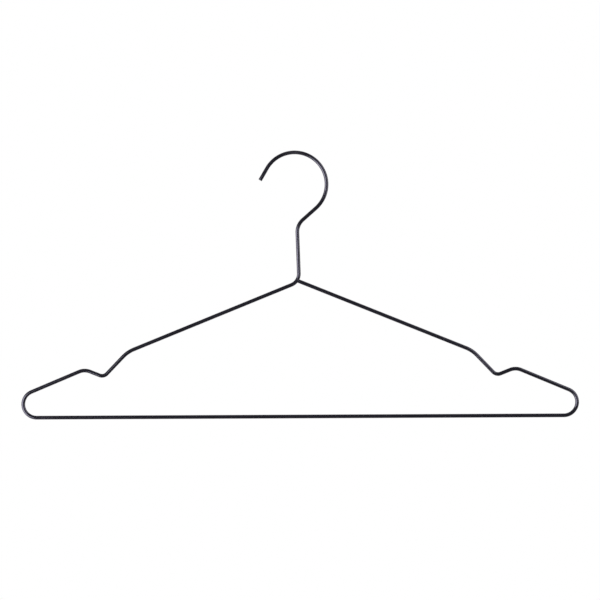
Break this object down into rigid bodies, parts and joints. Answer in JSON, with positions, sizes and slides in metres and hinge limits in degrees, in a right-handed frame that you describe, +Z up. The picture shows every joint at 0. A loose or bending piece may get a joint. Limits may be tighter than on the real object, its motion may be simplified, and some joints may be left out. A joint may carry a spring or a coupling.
{
  "type": "trouser hanger",
  "caption": "Flat clothes hanger bent from one round wire: open hook, sloping shoulders with strap notches and a straight bar for folded trousers.",
  "frame": {"origin": "inside top of the hook, where the hanger bears on the rail, on the wire's centre plane", "axes": "+X along the trouser bar to the right in the front view, where the hook is open to the left; +Y along the rail, away from the viewer; +Z up"},
  "size_m": [0.44, 0.0036, 0.2114],
  "materials": {
    "coated_wire": "satin black coat over steel wire",
    "weld": "satin black coat over the butt weld, a little rougher"
  },
  "bodies": {
    "root": {"hook_tip": "coated_wire", "hook_crown": "coated_wire", "hook_offset": "coated_wire", "neck_top": "coated_wire", "neck": "coated_wire", "neck_foot": "coated_wire", "left_shoulder": "coated_wire", "left_shoulder_bend": "coated_wire", "left_notch_entry": "coated_wire", "left_notch_valley": "coated_wire", "left_notch_exit": "coated_wire", "left_notch_crest": "coated_wire", "left_outer_run": "coated_wire", "left_end_loop": "coated_wire", "trouser_bar": "coated_wire", "right_end_loop": "coated_wire", "right_outer_run": "coated_wire", "right_notch_crest": "coated_wire", "right_notch_exit": "coated_wire", "right_notch_valley": "coated_wire", "right_notch_entry": "coated_wire", "right_shoulder_bend": "coated_wire", "right_shoulder": "coated_wire", "weld_bead": "weld"}
  },
  "joints": []
}
